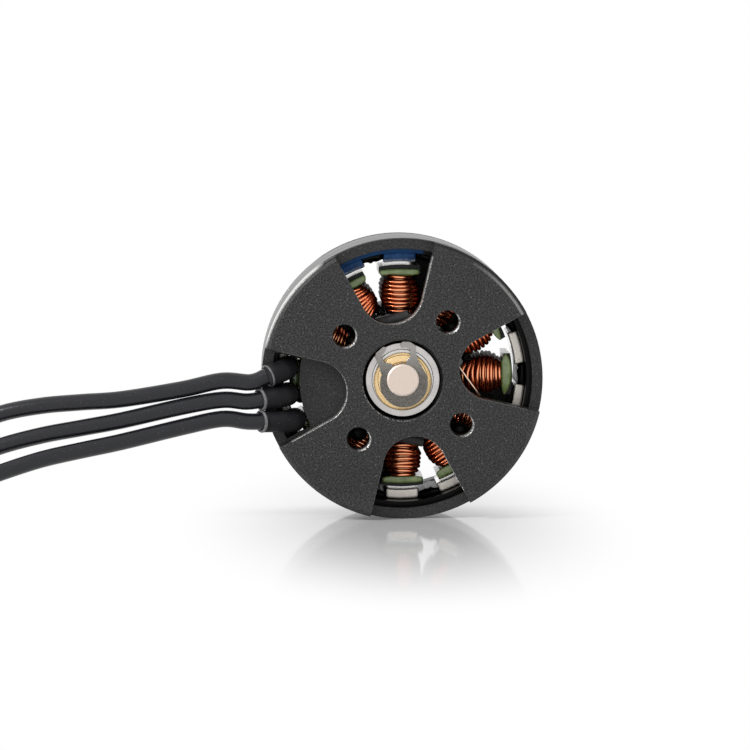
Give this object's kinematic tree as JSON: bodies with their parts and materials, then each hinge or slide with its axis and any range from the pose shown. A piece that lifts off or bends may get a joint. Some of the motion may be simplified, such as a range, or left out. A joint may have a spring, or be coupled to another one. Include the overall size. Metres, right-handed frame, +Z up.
{
  "type": "brushless outrunner motor",
  "caption": "Round outrunner motor seen from its mounting base, with windows onto copper coils and magnets, a turning bell on a shaft in ball bearings, and round leads with plugs.",
  "frame": {"origin": "on the motor's axis, in the plane of the mounting face", "axes": "+Y along the shaft, from the mounting face to the propeller end; +Z up and +X to the right as in the picture, so the leads leave towards -X"},
  "size_m": [0.1102, 0.0306, 0.0352],
  "materials": {
    "anodised_aluminium": "fine matte black anodising over a bead-blasted surface",
    "lamination_steel": "dark stacked laminations",
    "green_epoxy": "glossy green epoxy powder coat",
    "enamelled_copper": "glossy enamelled copper wire",
    "grey_sleeving": "matte dark grey heat-shrink",
    "bearing_steel": "ground bearing steel",
    "bearing_cage": "pressed sheet",
    "gold_shield": "gold-toned pressed shield",
    "shaft_steel": "hardened ground steel",
    "clip_steel": "dark spring steel",
    "brass_shim": "rolled brass",
    "flux_steel": "smooth black coating on steel",
    "magnet_coat": "beige-grey nickel and epoxy coat",
    "magnet_mark": "glossy blue marking paint",
    "black_glue": "black epoxy",
    "silicone_wire": "matte dark grey silicone",
    "connector_gold": "gold plating",
    "connector_sleeve": "matte black heat-shrink"
  },
  "bodies": {
    "stator": {"base_mount": "anodised_aluminium", "stator_core": "lamination_steel", "stator_coating_rear": "green_epoxy", "stator_coating_front": "green_epoxy", "winding_core_a": "enamelled_copper", "winding_core_b": "enamelled_copper", "winding_core_c": "enamelled_copper", "winding_turns_a": "enamelled_copper", "winding_turns_b": "enamelled_copper", "winding_turns_c": "enamelled_copper", "joint_sleeve_upper": "grey_sleeving", "joint_sleeve_lower": "grey_sleeving", "rear_bearing_outer_ring": "bearing_steel", "rear_bearing_shields": "gold_shield", "rear_bearing_snap_rings": "bearing_steel", "front_bearing_outer_ring": "bearing_steel", "front_bearing_shields": "gold_shield", "front_bearing_snap_rings": "bearing_steel", "lead_sleeve_a": "grey_sleeving", "lead_sleeve_b": "grey_sleeving", "lead_sleeve_c": "grey_sleeving", "lead_a": "silicone_wire", "lead_b": "silicone_wire", "lead_c": "silicone_wire", "cup_sleeve_a": "connector_sleeve", "cup_sleeve_b": "connector_sleeve", "cup_sleeve_c": "connector_sleeve", "connector_a": "connector_gold", "connector_b": "connector_gold", "connector_c": "connector_gold"},
    "rotor": {"shaft": "shaft_steel", "retaining_clip": "clip_steel", "clip_shim": "brass_shim", "hub_shim": "brass_shim", "rear_bearing_inner_ring": "bearing_steel", "front_bearing_inner_ring": "bearing_steel", "flux_ring": "flux_steel", "magnets_plain": "magnet_coat", "magnets_marked": "magnet_mark", "magnet_filler": "black_glue", "bell_cap": "anodised_aluminium"},
    "rear_cage": {"rear_bearing_balls": "bearing_steel", "rear_bearing_cage": "bearing_cage"},
    "front_cage": {"front_bearing_balls": "bearing_steel", "front_bearing_cage": "bearing_cage"}
  },
  "joints": [
    {"name": "rotor_spin", "type": "hinge", "parent": "stator", "child": "rotor", "pos_m": [0, 0, 0], "axis": [0, 1, 0], "continuous": true},
    {"name": "rear_cage_spin", "type": "hinge", "parent": "stator", "child": "rear_cage", "pos_m": [0, 0, 0], "axis": [0, 1, 0], "continuous": true},
    {"name": "front_cage_spin", "type": "hinge", "parent": "stator", "child": "front_cage", "pos_m": [0, 0, 0], "axis": [0, 1, 0], "continuous": true}
  ],
  "couplings": [
    {"joint": "rear_cage_spin", "follows": "rotor_spin", "ratio": 0.3871},
    {"joint": "front_cage_spin", "follows": "rotor_spin", "ratio": 0.3871}
  ]
}
